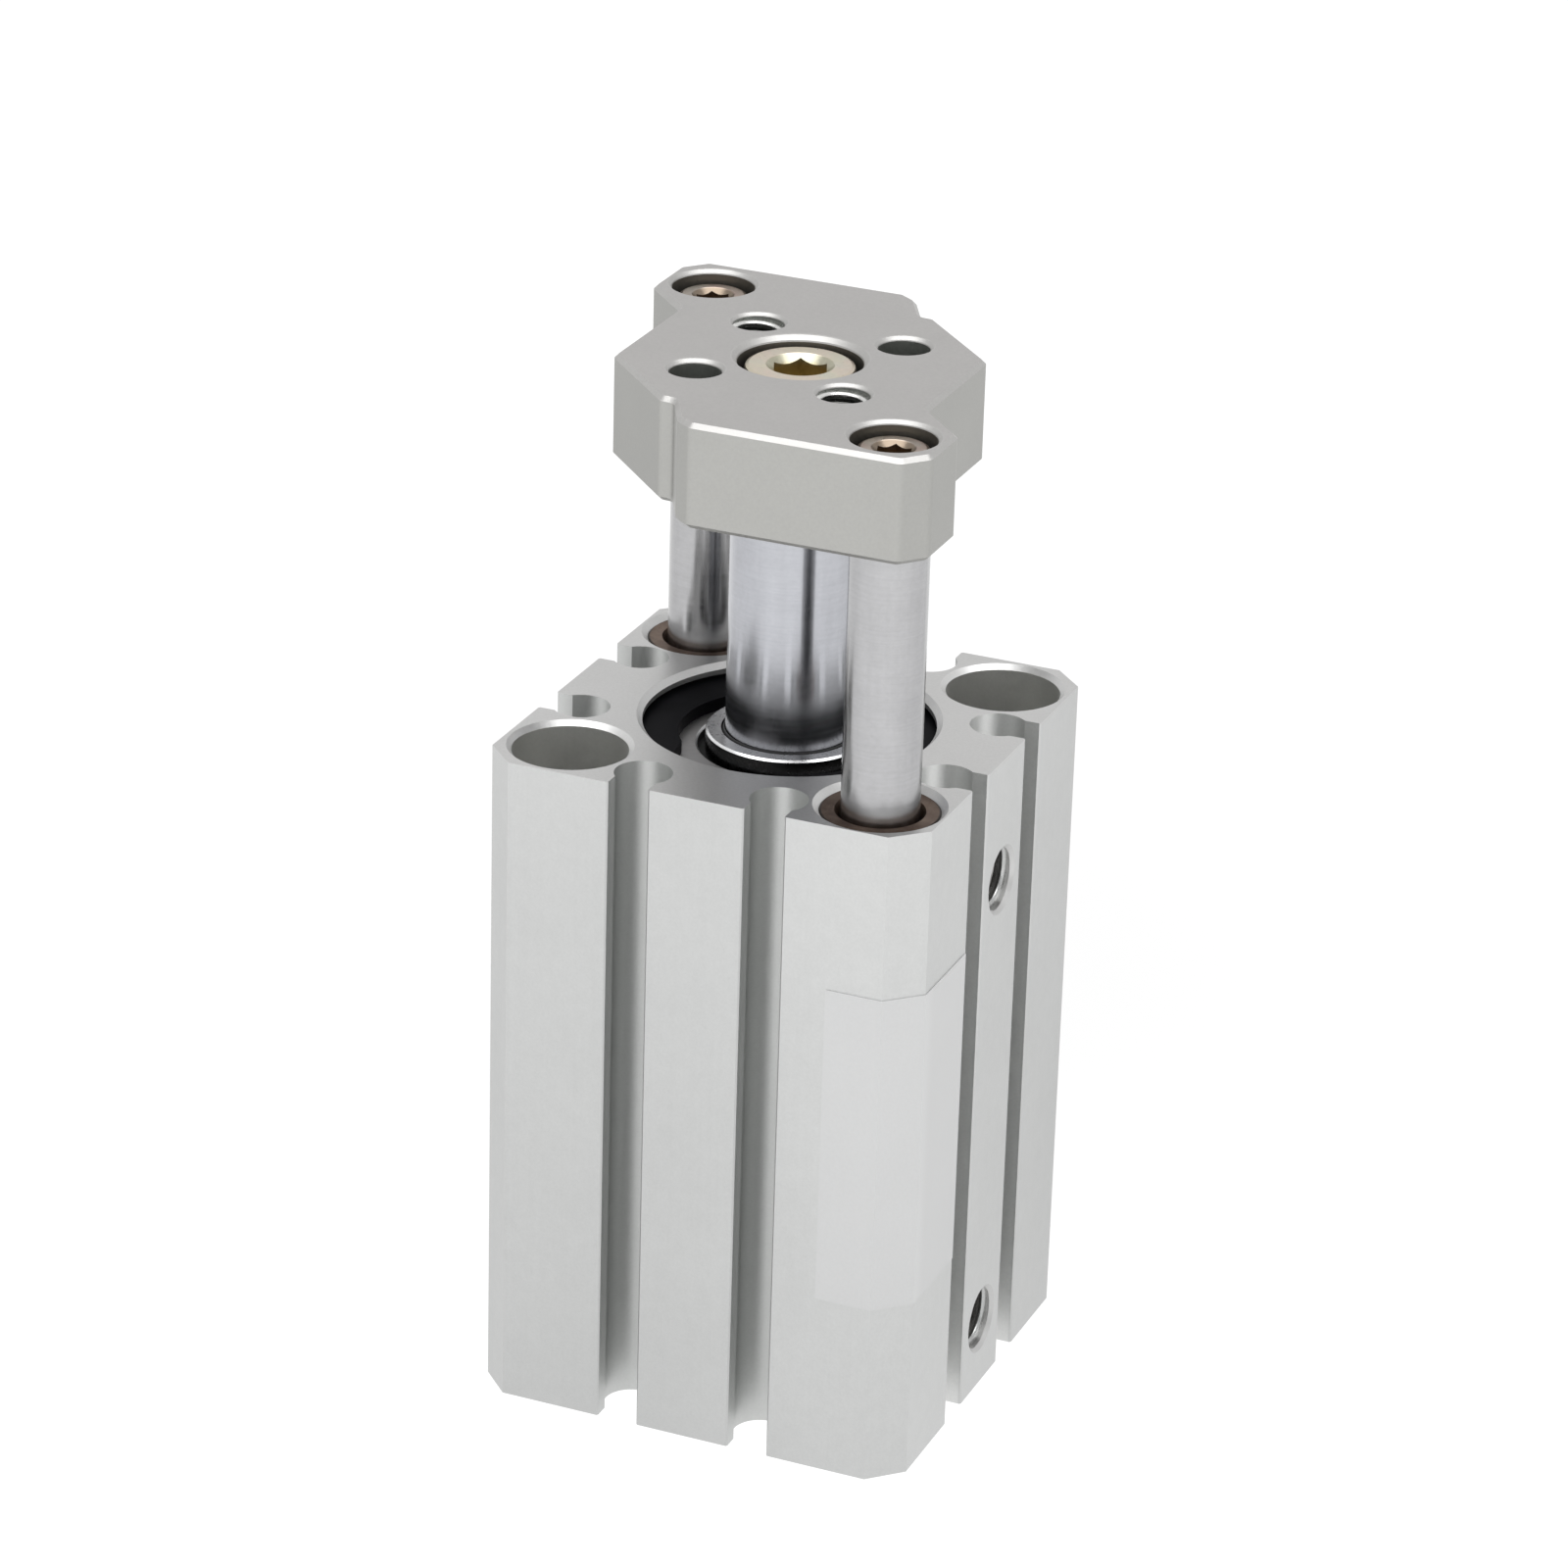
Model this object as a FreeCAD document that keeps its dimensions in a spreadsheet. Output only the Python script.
"""Guided pneumatic cylinder: square compact cylinder, one piston rod, two guide rods set on a diagonal and an end plate.

Millimetres. The origin is the centre of the cylinder tube's bottom face, +Z runs along the stroke towards the end plate,
-Y is the broad front face, +X is the face with the two air ports.
The moving group (piston, rods, end plate, screws) is drawn fully retracted and lifted by rest_ext through each Placement.
"""
import FreeCAD, Part
import Sketcher
import math
import os

os.makedirs("parts", exist_ok=True)

doc = FreeCAD.newDocument("guided_cylinder")
sheet = doc.addObject("Spreadsheet::Sheet", "sheet")
sheet.Label = "sheet"

DIMS = [
    # name, value, what it is
    ("body_width", 36.0, "square section of the tube"),
    ("body_len", 54.5, "tube length"),
    ("corner_cut", 2.5, "45 degree cut on the four long corners"),
    ("bore_rad", 10.0, "cylinder bore radius"),
    ("head_wall", 5.0, "solid bottom of the tube"),
    ("seat_z", 46.5, "shoulder that the rod collar sits on"),
    ("recess_rad", 11.4, "collar recess radius"),
    ("recess_cut", 0.45, "mouth chamfer of the recess"),
    ("ring_z", 52.2, "underside of the retaining ring groove"),
    ("ring_slot", 1.45, "retaining ring groove height"),
    ("ring_slot_rad", 12.2, "retaining ring groove radius"),
    ("hole_off", 12.75, "offset of the four corner axes from the centre, 25.5 pitch"),
    ("mount_rad", 2.75, "through hole for M5 mounting screws"),
    ("mount_cbore_rad", 4.5, "counterbore radius"),
    ("mount_cbore_depth", 7.0, "counterbore depth, both ends"),
    ("mount_cut", 0.4, "mouth chamfer of the counterbores"),
    ("guide_rad", 3.0, "guide rod radius"),
    ("bush_seat_rad", 4.6, "guide bushing seat radius"),
    ("bush_floor", 17.5, "shoulder below the lower bushings"),
    ("guide_vent_rad", 3.6, "open hole below the lower bushing"),
    ("bush_mouth_cut", 0.5, "mouth chamfer of the bushing seats"),
    ("slot_off", 5.555, "sensor groove offset from the face centre"),
    ("slot_mouth", 3.3, "sensor groove mouth width"),
    ("slot_break", 0.12, "broken edge of the groove mouth"),
    ("slot_depth", 2.85, "depth of the groove channel's centre"),
    ("slot_rad", 2.25, "groove channel radius"),
    ("port_hi_z", 44.2, "rod side port height"),
    ("port_lo_z", 5.8, "head side port height"),
    ("port_rad", 2.5, "M5 port, thread nominal radius"),
    ("port_mouth_rad", 2.8, "M5 port countersink radius"),
    ("port_depth", 5.4, "M5 port depth"),
    ("port_hi_drill", 1.25, "rod side air passage radius"),
    ("port_lo_drill", 0.75, "head side air passage radius"),
    ("rod_rad", 5.0, "piston rod radius"),
    ("run_fit", 0.03, "radial running clearance"),
    ("seat_fit", 0.01, "radial clearance of seated parts"),
    ("collar_foot", 42.0, "lower face of the collar"),
    ("collar_nose_rad", 9.2, "collar nose radius in the bore"),
    ("boss_rad", 6.5, "raised boss round the rod"),
    ("boss_top", 53.45, "top of the boss"),
    ("boss_cut", 0.16, "boss rim chamfer"),
    ("moat_rad", 7.12, "annular groove round the boss, outer radius"),
    ("moat_floor", 51.4, "annular groove floor"),
    ("gland_rad", 5.95, "rod seal gland radius"),
    ("gland_floor", 50.2, "rod seal gland floor"),
    ("gland_top", 52.9, "rod seal gland top"),
    ("gland_mouth_rad", 5.3, "opening above the gland"),
    ("oring_groove_z", 48.3, "collar O-ring groove, lower edge"),
    ("oring_groove_h", 2.2, "collar O-ring groove height"),
    ("oring_groove_rad", 10.0, "collar O-ring groove floor radius"),
    ("oring_mean", 10.695, "collar O-ring mean radius"),
    ("oring_cord", 0.68, "collar O-ring cord radius"),
    ("ring_in_rad", 8.3, "retaining ring inner radius"),
    ("ring_out_rad", 12.15, "retaining ring outer radius"),
    ("ring_thick", 1.0, "retaining ring thickness"),
    ("ring_shift", 0.45, "offset of the ring's inner circle towards its gap"),
    ("bush_out_rad", 4.59, "bushing outer radius"),
    ("bush_in_rad", 3.02, "bushing bore radius"),
    ("bush_len", 14.0, "bushing length"),
    ("bush_lead_rad", 3.45, "bushing lead-in radius"),
    ("bush_lead_len", 0.9, "bushing lead-in length"),
    ("bush_top", 54.1, "top of the upper bushings"),
    ("bush_lower_z", 18.0, "bottom of the lower bushings"),
    ("stroke", 25.0, "piston stroke"),
    ("rest_ext", 16.8, "extension of the rod in the rest pose"),
    ("piston_z", 5.5, "piston underside when retracted"),
    ("piston_len", 11.0, "piston length"),
    ("piston_rad", 9.92, "piston radius"),
    ("spigot_rad", 3.0, "rod spigot through the piston"),
    ("pseal_z", 6.9, "piston seal groove, above the piston underside"),
    ("pseal_h", 2.5, "piston seal groove height"),
    ("pseal_floor", 7.4, "piston seal groove floor radius"),
    ("pseal_rad", 9.95, "piston seal outer radius"),
    ("magnet_z", 2.4, "magnet groove, above the piston underside"),
    ("magnet_h", 2.6, "magnet groove height"),
    ("magnet_in", 7.6, "magnet groove floor radius"),
    ("magnet_out", 9.5, "magnet ring outer radius"),
    ("bump_in", 5.6, "bumper inner radius"),
    ("bump_out", 8.0, "bumper outer radius"),
    ("bump_seat", 0.9, "bumper recess depth"),
    ("bump_proud", 0.4, "bumper height above the piston face"),
    ("plate_gap", 4.3, "gap from tube to plate when retracted"),
    ("plate_thick", 8.2, "end plate thickness"),
    ("plate_cut", 0.35, "end plate edge chamfer"),
    ("plate_round", 0.8, "end plate corner radius"),
    ("plate_x", 16.8, "end plate half width"),
    ("plate_y", 17.3, "end plate half depth"),
    ("lobe_x", 12.8, "half width across the middle lobes"),
    ("tap_off", 6.0, "offset of the tooling holes, 12 x 12"),
    ("tap_rad", 2.0, "M4 tooling hole, thread nominal radius"),
    ("tap_mouth", 2.3, "M4 tooling hole mouth"),
    ("pin_rad", 2.0, "plain tooling hole radius"),
    ("pin_mouth", 2.35, "plain tooling hole mouth"),
    ("centre_cbore_rad", 4.8, "counterbore for the rod screw"),
    ("centre_cbore_depth", 5.6, "counterbore depth for the rod screw"),
    ("centre_mouth", 5.3, "counterbore mouth for the rod screw"),
    ("side_cbore_rad", 3.25, "counterbore for the guide rod screws"),
    ("side_cbore_depth", 3.9, "counterbore depth for the guide rod screws"),
    ("side_mouth", 3.62, "counterbore mouth for the guide rod screws"),
    ("bolt_rad", 2.5, "M5 screw"),
    ("bolt_head_rad", 4.25, "M5 screw head"),
    ("bolt_head_len", 5.0, "M5 screw head height"),
    ("bolt_hex", 4.0, "M5 screw socket across flats"),
    ("bolt_cone", 2.62, "M5 screw socket mouth cone radius"),
    ("bolt_len", 14.0, "M5 screw length under the head"),
    ("gbolt_rad", 1.5, "M3 screw"),
    ("gbolt_head_rad", 2.75, "M3 screw head"),
    ("gbolt_head_len", 3.0, "M3 screw head height"),
    ("gbolt_hex", 2.5, "M3 screw socket across flats"),
    ("gbolt_cone", 1.68, "M3 screw socket mouth cone radius"),
    ("gbolt_len", 12.0, "M3 screw length under the head"),
    ("guide_foot", 1.0, "lower end of the guide rods when retracted"),
    ("rod_tap_depth", 15.0, "thread depth in the piston rod"),
    ("guide_tap_depth", 11.0, "thread depth in the guide rods"),
    ("label_left", 10.95, "label edge on the front face"),
    ("label_right", 7.45, "label edge on the port face, from the centre"),
    ("label_low", 14.9, "label lower edge"),
    ("label_high", 41.1, "label upper edge"),
    ("label_thick", 0.09, "label thickness"),
]
VAL = {}
for row, (alias, value, note) in enumerate(DIMS, start=1):
    sheet.set("A%d" % row, note)
    sheet.set("B%d" % row, repr(value))
    sheet.setAlias("B%d" % row, alias)
    VAL[alias] = value
doc.recompute()


class Dim:
    """A length with its value and the spreadsheet formula that gives it."""

    def __init__(self, value, text):
        self.v, self.t = float(value), text

    @staticmethod
    def of(x):
        return x if isinstance(x, Dim) else Dim(x, "(%r)" % float(x))

    def _op(self, other, sign, value):
        other = Dim.of(other)
        return Dim(value(self.v, other.v), "(%s %s %s)" % (self.t, sign, other.t))

    def __add__(self, o): return self._op(o, "+", lambda a, b: a + b)
    def __sub__(self, o): return self._op(o, "-", lambda a, b: a - b)
    def __mul__(self, o): return self._op(o, "*", lambda a, b: a * b)
    def __truediv__(self, o): return self._op(o, "/", lambda a, b: a / b)
    def __radd__(self, o): return Dim.of(o) + self
    def __rsub__(self, o): return Dim.of(o) - self
    def __rmul__(self, o): return Dim.of(o) * self
    def __neg__(self): return Dim(-self.v, "(-1 * %s)" % self.t)


def D(name):
    return Dim(VAL[name], "sheet." + name)


def plane(body, role):
    for f in body.Origin.OriginFeatures:
        if f.Role == role:
            return f
    raise RuntimeError("no " + role)


def new_body(label, x=0, y=0, z=0, turn=0.0):
    """A body whose Placement comes from the spreadsheet."""
    b = doc.addObject("PartDesign::Body", label)
    b.Label = label
    b.Placement = FreeCAD.Placement(FreeCAD.Vector(0, 0, 0), FreeCAD.Rotation(FreeCAD.Vector(0, 0, 1), turn))
    for axis, d in (("x", x), ("y", y), ("z", z)):
        d = Dim.of(d)
        b.setExpression("Placement.Base." + axis, d.t)
    return b


def new_sketch(body, role, name, dx=0, dy=0, dz=0):
    s = body.newObject("Sketcher::SketchObject", name)
    s.AttachmentSupport = (plane(body, role), [""])
    s.MapMode = "FlatFace"
    for axis, d in (("x", dx), ("y", dy), ("z", dz)):
        d = Dim.of(d)
        if d.v or "sheet" in d.t:
            s.setExpression("AttachmentOffset.Base." + axis, d.t)
    return s


def loop(s, pts, tag="p"):
    """A closed chain of lines whose corners are held by spreadsheet formulas."""
    pts = [(Dim.of(a), Dim.of(b)) for a, b in pts]
    n = len(pts)
    first = s.GeometryCount
    for i in range(n):
        a, b = pts[i], pts[(i + 1) % n]
        s.addGeometry(Part.LineSegment(FreeCAD.Vector(a[0].v, a[1].v, 0), FreeCAD.Vector(b[0].v, b[1].v, 0)), False)
    for i in range(n):
        s.addConstraint(Sketcher.Constraint("Coincident", first + i, 2, first + (i + 1) % n, 1))
    for i in range(n):
        for kind, k in (("DistanceX", 0), ("DistanceY", 1)):
            d = pts[i][k]
            c = s.addConstraint(Sketcher.Constraint(kind, -1, 1, first + i, 1, d.v))
            nm = "%s%d%s" % (tag, i, "xy"[k])
            s.renameConstraint(c, nm)
            if "sheet" in d.t:
                s.setExpression("Constraints." + nm, d.t)


def disc(s, cx, cy, rad, tag="c"):
    """A circle held by spreadsheet formulas."""
    cx, cy, rad = Dim.of(cx), Dim.of(cy), Dim.of(rad)
    g = s.addGeometry(Part.Circle(FreeCAD.Vector(cx.v, cy.v, 0), FreeCAD.Vector(0, 0, 1), rad.v), False)
    for kind, d, k in (("DistanceX", cx, "x"), ("DistanceY", cy, "y")):
        c = s.addConstraint(Sketcher.Constraint(kind, -1, 1, g, 3, d.v))
        s.renameConstraint(c, tag + k)
        if "sheet" in d.t:
            s.setExpression("Constraints.%s%s" % (tag, k), d.t)
    c = s.addConstraint(Sketcher.Constraint("Radius", g, rad.v))
    s.renameConstraint(c, tag + "r")
    s.setExpression("Constraints.%sr" % tag, rad.t)


def revolve(body, s, name, axis="V_Axis"):
    f = body.newObject("PartDesign::Revolution", name)
    f.Profile = s
    f.ReferenceAxis = (s, [axis])
    f.Angle = 360.0
    s.Visibility = False
    return f


def groove(body, s, name, axis="V_Axis"):
    """Cuts a turned profile and makes sure that it removed material."""
    doc.recompute()
    before = body.Shape.Volume
    f = body.newObject("PartDesign::Groove", name)
    f.Profile = s
    f.ReferenceAxis = (s, [axis])
    f.Angle = 360.0
    s.Visibility = False
    doc.recompute()
    if not body.Shape.Volume < before - 1e-3:
        raise RuntimeError("groove %s cut nothing" % name)
    return f


def pad(body, s, name, length):
    f = body.newObject("PartDesign::Pad", name)
    f.Profile = s
    f.Length = Dim.of(length).v
    f.setExpression("Length", Dim.of(length).t)
    s.Visibility = False
    return f


def pocket(body, s, name, length=None, reverse=False):
    """Cuts a sketch, to a depth or through all both ways, and makes sure that it removed material."""
    doc.recompute()
    before = body.Shape.Volume
    f = body.newObject("PartDesign::Pocket", name)
    f.Profile = s
    if length is None:
        f.Type = "ThroughAll"
        f.Midplane = True
    else:
        f.Length = Dim.of(length).v
        f.setExpression("Length", Dim.of(length).t)
        f.Reversed = reverse
    s.Visibility = False
    doc.recompute()
    if not body.Shape.Volume < before - 1e-3:
        raise RuntimeError("pocket %s cut nothing" % name)
    return f


def polar(body, feats, name, count):
    """Repeats features round the body's Z axis."""
    doc.recompute()
    before = body.Shape.Volume
    f = body.newObject("PartDesign::PolarPattern", name)
    f.Originals = feats
    f.Axis = (plane(body, "Z_Axis"), [""])
    f.Angle = 360.0
    f.Occurrences = count
    body.Tip = f
    doc.recompute()
    if not abs(body.Shape.Volume - before) > 1e-3:
        raise RuntimeError("pattern %s did nothing" % name)
    return f


# ------------------------------------------------------------------ cylinder tube
half = D("body_width") / 2
cut = D("corner_cut")
tube = new_body("cylinder_tube")
sk = new_sketch(tube, "XY_Plane", "tube_section")
inn = half - cut
loop(sk, [(-inn, -half), (inn, -half), (half, -inn), (half, inn), (inn, half), (-inn, half), (-half, inn), (-half, -inn)])
pad(tube, sk, "tube_blank", D("body_len"))
doc.recompute()

# sensor grooves: two on each face, a narrow mouth and a round channel behind it
sk = new_sketch(tube, "XY_Plane", "groove_mouths")
m = D("slot_mouth") / 2
y_out = -half - 1
y_in = -half + D("slot_depth")
for tag, side in (("a", 1), ("b", -1)):
    c = D("slot_off") * side
    q = D("slot_break")
    loop(sk, [
        (c - m - q, y_out), (c + m + q, y_out), (c + m + q, -half), (c + m, -half + q), (c + m, y_in), (c - m, y_in), (c - m, -half + q), (c - m - q, -half),
    ], tag)
mouths = pocket(tube, sk, "groove_mouth_cut")
sk = new_sketch(tube, "XY_Plane", "groove_channels")
disc(sk, D("slot_off"), y_in, D("slot_rad"), "a")
disc(sk, -D("slot_off"), y_in, D("slot_rad"), "b")
channels = pocket(tube, sk, "groove_channel_cut")
polar(tube, [mouths, channels], "grooves_all_faces", 4)

# bore, collar recess and retaining ring groove
top = D("body_len")
sk = new_sketch(tube, "XZ_Plane", "bore_profile")
loop(sk, [
    (0, D("head_wall")), (D("bore_rad"), D("head_wall")), (D("bore_rad"), D("seat_z")), (D("recess_rad"), D("seat_z")),
    (D("recess_rad"), D("ring_z")), (D("ring_slot_rad"), D("ring_z")), (D("ring_slot_rad"), D("ring_z") + D("ring_slot")),
    (D("recess_rad"), D("ring_z") + D("ring_slot")), (D("recess_rad"), top - D("recess_cut")), (D("recess_rad") + D("recess_cut"), top),
    (D("recess_rad") + D("recess_cut"), top + 1), (0, top + 1),
])
groove(tube, sk, "bore_cut")

# counterbored mounting holes on one diagonal
sk = new_sketch(tube, "XZ_Plane", "mount_profile", dx=-D("hole_off"), dz=D("hole_off"))
cb, mr, md, mc = D("mount_cbore_rad"), D("mount_rad"), D("mount_cbore_depth"), D("mount_cut")
loop(sk, [
    (0, -1), (cb + mc, -1), (cb + mc, 0), (cb, mc), (cb, md), (mr, md), (mr, top - md), (cb, top - md), (cb, top - mc), (cb + mc, top), (cb + mc, top + 1), (0, top + 1),
])
g = groove(tube, sk, "mount_hole_cut")
polar(tube, [g], "mount_holes", 2)

# guide bores on the other diagonal
sk = new_sketch(tube, "XZ_Plane", "guide_profile", dx=D("hole_off"), dz=D("hole_off"))
bs, vr, bc = D("bush_seat_rad"), D("guide_vent_rad"), D("bush_mouth_cut")
loop(sk, [
    (0, -1), (vr + 0.3, -1), (vr + 0.3, 0), (vr, 0.3), (vr, D("bush_floor")), (bs, D("bush_floor")), (bs, top - bc), (bs + bc, top), (bs + bc, top + 1), (0, top + 1),
])
g = groove(tube, sk, "guide_bore_cut")
polar(tube, [g], "guide_bores", 2)

# two M5 air ports on the +X face, each with a narrower passage to the bore
for name, zc, drill in (("rod_port", D("port_hi_z"), D("port_hi_drill")), ("head_port", D("port_lo_z"), D("port_lo_drill"))):
    sk = new_sketch(tube, "XZ_Plane", name + "_profile", dy=zc)
    flare = D("port_mouth_rad") - D("port_rad")
    loop(sk, [
        (D("bore_rad") - 0.3, 0), (D("bore_rad") - 0.3, drill), (half - D("port_depth"), drill), (half - D("port_depth"), D("port_rad")),
        (half - flare, D("port_rad")), (half, D("port_mouth_rad")), (half + 1, D("port_mouth_rad")), (half + 1, 0),
    ])
    groove(tube, sk, name + "_cut", "H_Axis")

# ------------------------------------------------------------------ rod collar
collar = new_body("rod_collar")
sk = new_sketch(collar, "XZ_Plane", "collar_profile")
ri = D("rod_rad") + D("run_fit")
ro = D("recess_rad") - D("seat_fit") * 2
og, oh, orr = D("oring_groove_z"), D("oring_groove_h"), D("oring_groove_rad")
loop(sk, [
    (ri + 0.3, D("collar_foot")), (D("collar_nose_rad") - 0.4, D("collar_foot")), (D("collar_nose_rad"), D("collar_foot") + 0.4),
    (D("collar_nose_rad"), D("seat_z")), (ro, D("seat_z")), (ro, og), (orr, og), (orr, og + oh), (ro, og + oh),
    (ro, D("ring_z") - 0.2), (ro - 0.2, D("ring_z")), (D("moat_rad") + 0.15, D("ring_z")), (D("moat_rad"), D("ring_z") - 0.15), (D("moat_rad"), D("moat_floor")), (D("boss_rad"), D("moat_floor")),
    (D("boss_rad"), D("boss_top") - D("boss_cut")), (D("boss_rad") - D("boss_cut"), D("boss_top")), (D("gland_mouth_rad"), D("boss_top")),
    (D("gland_mouth_rad"), D("gland_top")), (D("gland_rad"), D("gland_top")), (D("gland_rad"), D("gland_floor")), (ri, D("gland_floor")),
    (ri, D("collar_foot") + 0.3),
])
revolve(collar, sk, "collar_turned")

# rod seal with its scraper lip, in the gland of the collar
rseal = new_body("rod_seal")
sk = new_sketch(rseal, "XZ_Plane", "rod_seal_profile")
gr = D("gland_rad") - D("seat_fit") * 2
gm = D("gland_mouth_rad") - D("seat_fit") * 5
loop(sk, [
    (ri, D("gland_floor") + 0.75), (ri + 0.25, D("gland_floor") + 0.05), (gr, D("gland_floor") + 0.05), (gr, D("gland_top") - 0.05),
    (gm, D("gland_top") - 0.05), (gm, D("boss_top") - 0.25), (gm - 0.12, D("boss_top") + 0.05), (ri + 0.02, D("boss_top") + 0.1), (ri, D("boss_top") - 0.1),
    (ri + 0.12, D("boss_top") - 0.8), (ri + 0.12, D("gland_floor") + 1.2),
])
revolve(rseal, sk, "rod_seal_turned")

# O-ring between collar and tube
oring = doc.addObject("Part::Torus", "collar_o_ring")
oring.Label = "collar_o_ring"
oring.setExpression("Radius1", D("oring_mean").t)
oring.setExpression("Radius2", D("oring_cord").t)
oring.setExpression("Placement.Base.z", (D("oring_groove_z") + D("oring_groove_h") / 2).t)

# open retaining ring that holds the collar
ring = new_body("retaining_ring", z=D("ring_z") + 0.02)
sk = new_sketch(ring, "XZ_Plane", "ring_profile")
ri0 = D("ring_in_rad") - D("ring_shift") - 0.1
loop(sk, [(ri0, 0), (D("ring_out_rad"), 0), (D("ring_out_rad"), D("ring_thick")), (ri0, D("ring_thick"))])
revolve(ring, sk, "ring_turned")
sk = new_sketch(ring, "XY_Plane", "ring_inside")
disc(sk, D("ring_shift") * math.cos(math.radians(255.0)), D("ring_shift") * math.sin(math.radians(255.0)), D("ring_in_rad"))
pocket(ring, sk, "ring_inside_cut")
sk = new_sketch(ring, "XY_Plane", "ring_gap")
gap = []
for ang, rr in ((214.0, 8.2), (244.0, 12.9), (266.0, 12.9), (296.0, 8.2)):
    gap.append((rr * math.cos(math.radians(ang)), rr * math.sin(math.radians(ang))))
loop(sk, gap)
pocket(ring, sk, "ring_gap_cut")


# ------------------------------------------------------------------ guide bushings
def bushing(label, sx, z0, lead_up):
    """Sintered bushing; lead_up puts the lead-in chamfer at the upper end."""
    b = new_body(label, D("hole_off") * sx, D("hole_off") * -sx, z0)
    s = new_sketch(b, "XZ_Plane", label + "_profile")
    r0, r1, L, q, lead = D("bush_in_rad"), D("bush_out_rad"), D("bush_len"), D("bush_lead_rad"), D("bush_lead_len")
    pts = [(r0 + 0.15, 0), (r1 - 0.3, 0), (r1, 0.3), (r1, L - 0.12), (r1 - 0.12, L)]
    pts += [(q, L), (r0, L - lead)] if lead_up else [(r0 + 0.15, L), (r0, L - 0.15)]
    pts += [(r0, 0.15)]
    loop(s, pts)
    revolve(b, s, label + "_turned")
    return b


bushing("upper_bushing_front", 1, D("bush_top") - D("bush_len"), True)
bushing("upper_bushing_back", -1, D("bush_top") - D("bush_len"), True)
bushing("lower_bushing_front", 1, D("bush_lower_z"), False)
bushing("lower_bushing_back", -1, D("bush_lower_z"), False)

# ------------------------------------------------------------------ label wrapped over the front right corner
label = new_body("side_label", z=D("label_low"))
sk = new_sketch(label, "XY_Plane", "label_section")
g0 = 0.01
g1 = D("label_thick") + g0
k = math.tan(math.radians(22.5))
loop(sk, [
    (D("label_left"), -half - g0), (inn + g0 * k, -half - g0), (half + g0, -inn - g0 * k), (half + g0, -D("label_right")),
    (half + g1, -D("label_right")), (half + g1, -inn - g1 * k), (inn + g1 * k, -half - g1), (D("label_left"), -half - g1),
])
pad(label, sk, "label_film", D("label_high") - D("label_low"))

# ------------------------------------------------------------------ piston group (drawn retracted)
ext = D("rest_ext")
pz, pl, pr = D("piston_z"), D("piston_len"), D("piston_rad")
piston = new_body("piston", z=pz + ext)
sk = new_sketch(piston, "XZ_Plane", "piston_profile")
bi, bo, bd = D("bump_in"), D("bump_out"), D("bump_seat")
mz, mh, mi = D("magnet_z"), D("magnet_h"), D("magnet_in")
sz, sh, sf = D("pseal_z"), D("pseal_h"), D("pseal_floor")
sp = D("spigot_rad") + D("seat_fit")
loop(sk, [
    (sp + 0.4, 0), (bi, 0), (bi, bd), (bo, bd), (bo, 0), (pr - 0.4, 0), (pr, 0.4),
    (pr, mz), (mi, mz), (mi, mz + mh), (pr, mz + mh),
    (pr, sz), (sf, sz), (sf, sz + sh), (pr, sz + sh),
    (pr, pl - 0.4), (pr - 0.4, pl), (bo, pl), (bo, pl - bd), (bi, pl - bd), (bi, pl), (sp, pl), (sp, 0.4),
])
revolve(piston, sk, "piston_turned")

pseal = new_body("piston_seal", z=pz + ext + sz)
sk = new_sketch(pseal, "XZ_Plane", "piston_seal_profile")
sr, f0 = D("pseal_rad"), sf + 0.02
loop(sk, [(f0, 0.05), (pr - 0.5, 0.05), (sr, 0.55), (sr - 0.02, 0.95), (pr - 0.45, sh / 2), (sr - 0.02, sh - 0.95), (sr, sh - 0.55), (pr - 0.5, sh - 0.05), (f0, sh - 0.05)])
revolve(pseal, sk, "piston_seal_moulded")

magnet = new_body("magnet_ring", z=pz + ext + mz)
sk = new_sketch(magnet, "XZ_Plane", "magnet_profile")
loop(sk, [(mi + 0.02, 0.05), (D("magnet_out"), 0.05), (D("magnet_out"), mh - 0.05), (mi + 0.02, mh - 0.05)])
revolve(magnet, sk, "magnet_moulded")

for label_, z0, flip in (("head_bumper", pz + ext - D("bump_proud"), False), ("rod_bumper", pz + ext + pl - bd + 0.02, True)):
    b = new_body(label_, z=z0)
    sk = new_sketch(b, "XZ_Plane", label_ + "_profile")
    a0, a1, hh = bi + 0.02, bo - 0.02, bd + D("bump_proud") - 0.02
    if flip:
        loop(sk, [(a0, 0), (a1, 0), (a1, hh - 0.3), (a1 - 0.3, hh), (a0 + 0.3, hh), (a0, hh - 0.3)])
    else:
        loop(sk, [(a0 + 0.3, 0), (a1 - 0.3, 0), (a1, 0.3), (a1, hh), (a0, hh), (a0, 0.3)])
    revolve(b, sk, label_ + "_moulded")

# piston rod: spigot through the piston, ground shank, female M5 thread at the plate end
rod = new_body("piston_rod", z=ext)
sk = new_sketch(rod, "XZ_Plane", "rod_profile")
plate_z = D("body_len") + D("plate_gap")
rr, tap = D("rod_rad"), D("bolt_rad") + D("seat_fit") * 2
loop(sk, [
    (0, pz + 0.3), (D("spigot_rad") - 0.3, pz + 0.3), (D("spigot_rad"), pz + 0.6), (D("spigot_rad"), pz + pl + 0.02), (rr, pz + pl + 0.02),
    (rr, plate_z - 0.5), (rr - 0.5, plate_z), (tap + 0.3, plate_z), (tap, plate_z - 0.3), (tap, plate_z - D("rod_tap_depth")), (0, plate_z - D("rod_tap_depth") - tap * 0.6),
])
revolve(rod, sk, "rod_turned")

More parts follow.
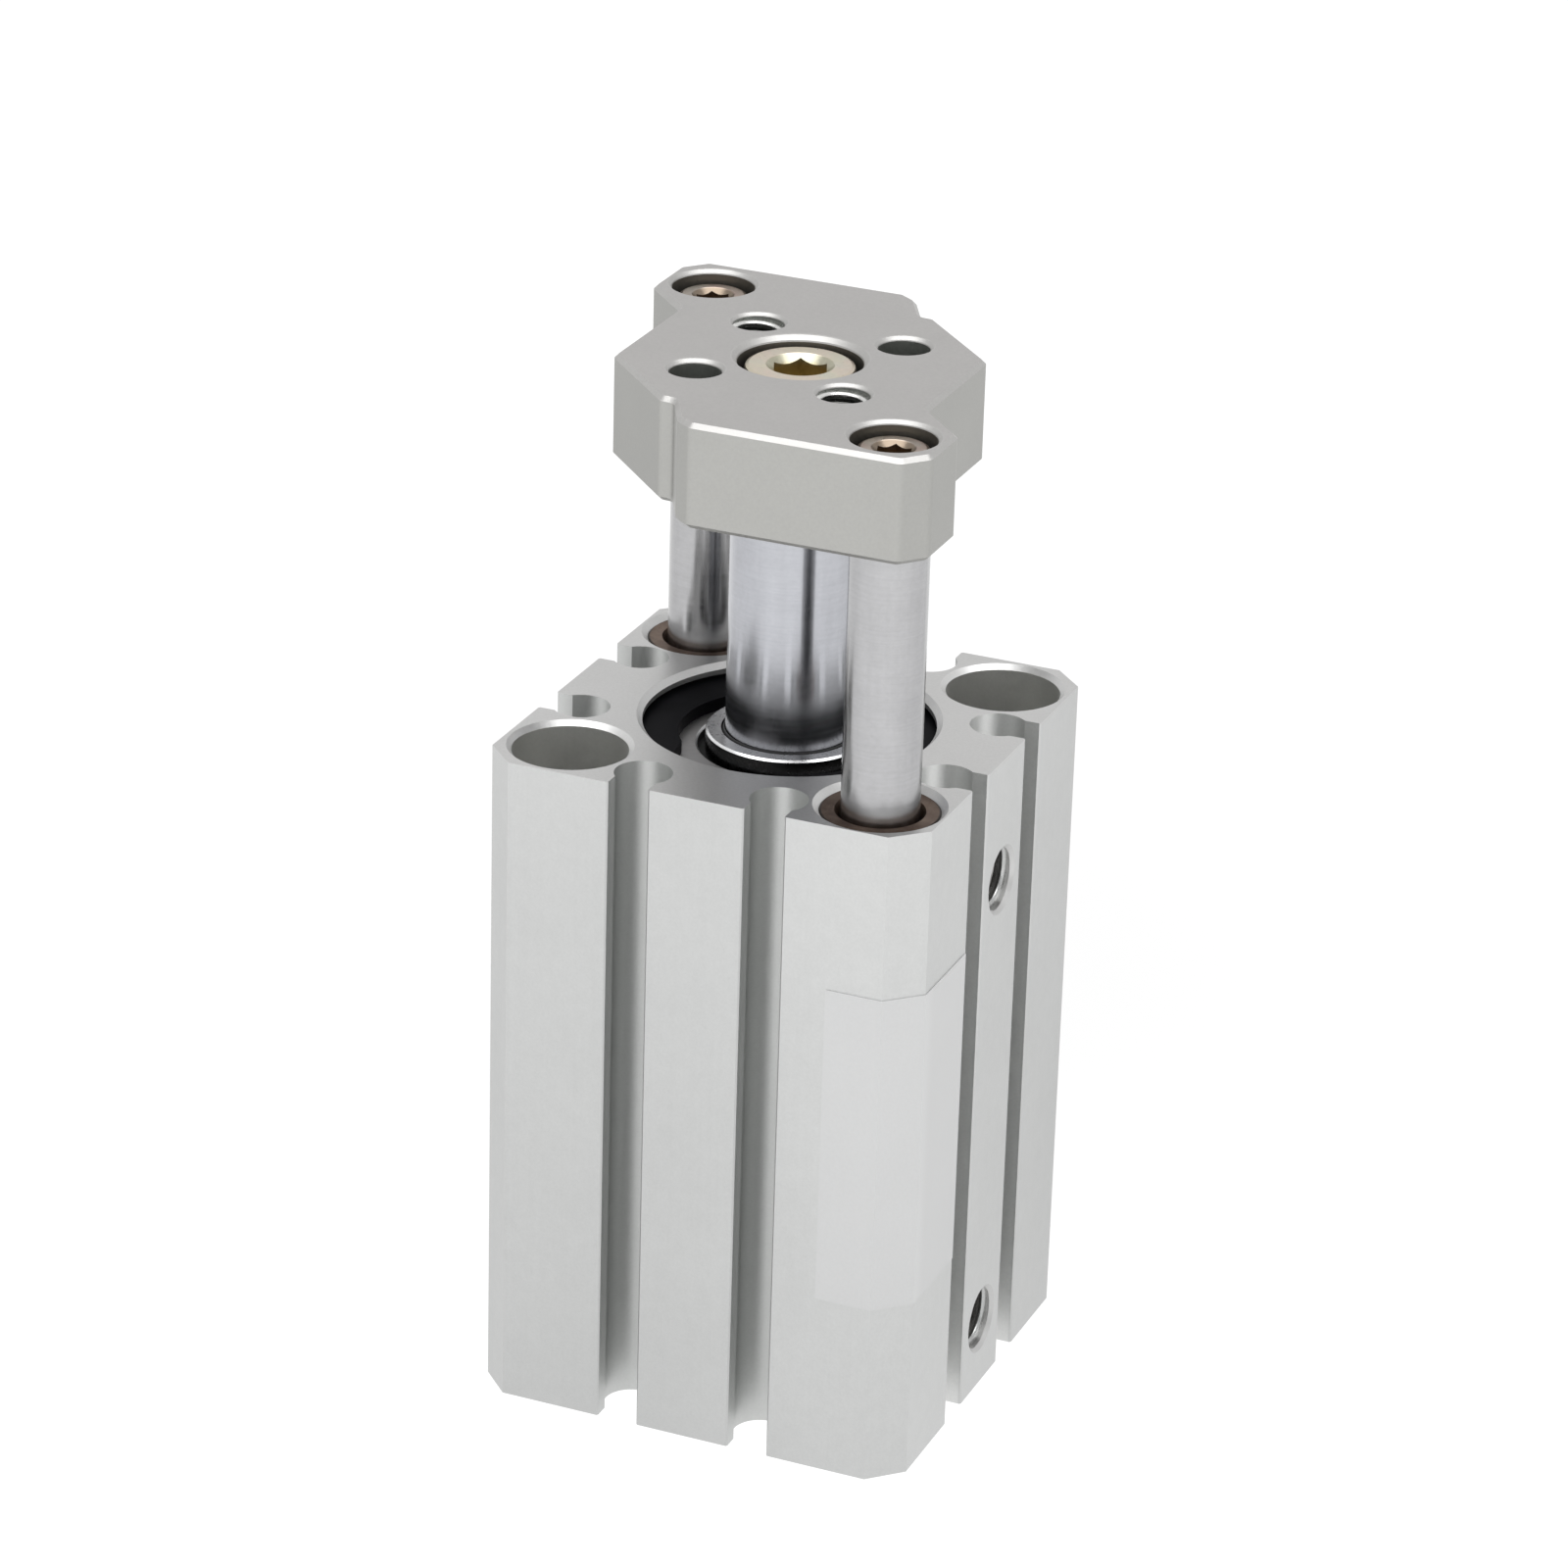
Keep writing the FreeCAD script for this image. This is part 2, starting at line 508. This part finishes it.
# guide rods
for label_, sx in (("guide_rod_front", 1), ("guide_rod_back", -1)):
    b = new_body(label_, D("hole_off") * sx, D("hole_off") * -sx, ext)
    sk = new_sketch(b, "XZ_Plane", label_ + "_profile")
    gr_, gt = D("guide_rad"), D("gbolt_rad") + D("seat_fit") * 2
    loop(sk, [
        (0, D("guide_foot")), (gr_ - 0.6, D("guide_foot")), (gr_, D("guide_foot") + 0.6), (gr_, plate_z - 0.3), (gr_ - 0.3, plate_z), (gt + 0.25, plate_z), (gt, plate_z - 0.25),
        (gt, plate_z - D("guide_tap_depth")), (0, plate_z - D("guide_tap_depth") - gt * 0.6),
    ])
    revolve(b, sk, label_ + "_turned")

# ------------------------------------------------------------------ end plate
plate = new_body("end_plate", z=plate_z + ext)
sk = new_sketch(plate, "XY_Plane", "plate_outline")
px_, py_, lx = D("plate_x"), D("plate_y"), D("lobe_x")
halfline = [
    (Dim.of(-2.85), -py_ + 0.95), (Dim.of(-1.5), -py_), (px_ - 1.7, -py_), (px_, -py_ + 2.0), (px_, Dim.of(-10.3)), (lx, Dim.of(-6.2)), (lx, Dim.of(5.8)), (Dim.of(5.8), lx + 0.1), (Dim.of(4.6), lx + 0.2),
]
loop(sk, halfline + [(-a, -b) for a, b in halfline])
blank = pad(plate, sk, "plate_blank", D("plate_thick"))
doc.recompute()
upright = [
    "Edge%d" % k for k, e in enumerate(blank.Shape.Edges, start=1)
    if e.BoundBox.XLength < 1e-6 and e.BoundBox.YLength < 1e-6 and e.BoundBox.ZLength > 7
]
f = plate.newObject("PartDesign::Fillet", "plate_corners")
f.Base = (blank, upright)
f.Radius = VAL["plate_round"]
f.setExpression("Radius", D("plate_round").t)
doc.recompute()
flats = [
    "Face%d" % k for k, fc in enumerate(f.Shape.Faces, start=1)
    if fc.BoundBox.ZLength < 1e-6
]
c = plate.newObject("PartDesign::Chamfer", "plate_edges")
c.Base = (f, flats)
c.Size = VAL["plate_cut"]
c.setExpression("Size", D("plate_cut").t)
doc.recompute()

pt = D("plate_thick")


def plate_hole(name, x, y, pts, twice):
    s = new_sketch(plate, "XZ_Plane", name + "_profile", dx=x, dz=-Dim.of(y))
    loop(s, pts)
    g = groove(plate, s, name + "_cut")
    if twice:
        polar(plate, [g], name + "_pair", 2)


def rounded(rad, lip):
    """Rolled-over lip at the top of a hole, from its wall out to the plate face."""
    return [(rad, pt - lip), (rad + lip * 0.1, pt - lip * 0.76), (rad + lip * 0.76, pt - lip * 0.1), (rad + lip, pt)]


def counterbore(cb_rad, depth, mouth, clear):
    lip = mouth - cb_rad
    return [(0, -1), (clear + 0.3, -1), (clear + 0.3, 0), (clear, 0.3), (clear, pt - depth), (cb_rad, pt - depth)] + rounded(cb_rad, lip) + [(mouth, pt + 1), (0, pt + 1)]


def plain(rad, mouth):
    lip = mouth - rad
    return [(0, -1), (mouth, -1), (mouth, 0), (rad, lip)] + rounded(rad, lip) + [(mouth, pt + 1), (0, pt + 1)]


plate_hole("rod_screw_hole", Dim.of(0), Dim.of(0), counterbore(D("centre_cbore_rad"), D("centre_cbore_depth"), D("centre_mouth"), D("bolt_rad") + 0.25), False)
plate_hole("guide_screw_hole", D("hole_off"), -D("hole_off"), counterbore(D("side_cbore_rad"), D("side_cbore_depth"), D("side_mouth"), D("gbolt_rad") + 0.2), True)
plate_hole("tapped_hole", D("tap_off"), -D("tap_off"), plain(D("tap_rad"), D("tap_mouth")), True)
plate_hole("plain_hole", D("tap_off"), D("tap_off"), plain(D("pin_rad"), D("pin_mouth")), True)


# ------------------------------------------------------------------ socket head screws
def screw(label_, x, y, seat, rad, head_rad, head_len, hexa, cone, length, turn, drive):
    """Socket head cap screw; its own Z = 0 is the underside of the head."""
    b = new_body(label_, x, y, seat, turn)
    s = new_sketch(b, "XZ_Plane", label_ + "_profile")
    loop(s, [
        (0, -length), (rad - 0.4, -length), (rad, -length + 0.4), (rad, 0), (head_rad - 0.1, 0), (head_rad, 0.1), (head_rad, head_len - 0.35), (head_rad - 0.1, head_len - 0.12), (head_rad - 0.35, head_len), (0, head_len),
    ])
    revolve(b, s, label_ + "_turned")
    s = new_sketch(b, "XZ_Plane", label_ + "_mouth")
    loop(s, [(0, head_len - 0.75), (cone - 0.75, head_len - 0.75), (cone, head_len), (cone, head_len + 0.5), (0, head_len + 0.5)])
    groove(b, s, label_ + "_mouth_cut")
    s = new_sketch(b, "XY_Plane", label_ + "_hex", dz=head_len)
    c_ = hexa / 2 * (2 / math.sqrt(3))
    loop(s, [(c_ * math.cos(math.radians(60 * i)), c_ * math.sin(math.radians(60 * i))) for i in range(6)])
    pocket(b, s, label_ + "_socket", drive)
    return b


screw("plate_bolt", 0, 0, plate_z + ext + pt - D("centre_cbore_depth"), D("bolt_rad"), D("bolt_head_rad"), D("bolt_head_len"), D("bolt_hex"), D("bolt_cone"), D("bolt_len"), 52.0, 2.6)
screw("guide_bolt_front", D("hole_off"), -D("hole_off"), plate_z + ext + pt - D("side_cbore_depth"), D("gbolt_rad"), D("gbolt_head_rad"), D("gbolt_head_len"), D("gbolt_hex"), D("gbolt_cone"), D("gbolt_len"), 45.0, 1.6)
screw("guide_bolt_back", -D("hole_off"), D("hole_off"), plate_z + ext + pt - D("side_cbore_depth"), D("gbolt_rad"), D("gbolt_head_rad"), D("gbolt_head_len"), D("gbolt_hex"), D("gbolt_cone"), D("gbolt_len"), 58.0, 1.6)

# ------------------------------------------------------------------ checks and export
doc.recompute()
bad = [o.Name for o in doc.Objects if set(o.State) & {"Invalid", "Error"}]
if bad:
    raise RuntimeError("not recomputed cleanly: " + ", ".join(bad))
nodes = [o for o in doc.Objects if o.TypeId in ("PartDesign::Body", "Part::Torus")]
for o in nodes:
    s = o.Shape
    if s.isNull() or not s.isValid() or len(s.Solids) != 1:
        raise RuntimeError("%s: null, invalid or not one solid (%d)" % (o.Label, len(s.Solids)))
for o in nodes:
    o.Shape.exportStep("parts/%s.step" % o.Label)
    bb = o.Shape.BoundBox
    print("%-22s %9.2f mm3  x %.2f..%.2f  y %.2f..%.2f  z %.2f..%.2f" % (o.Label, o.Shape.Volume, bb.XMin, bb.XMax, bb.YMin, bb.YMax, bb.ZMin, bb.ZMax))
print(len(nodes), "nodes")
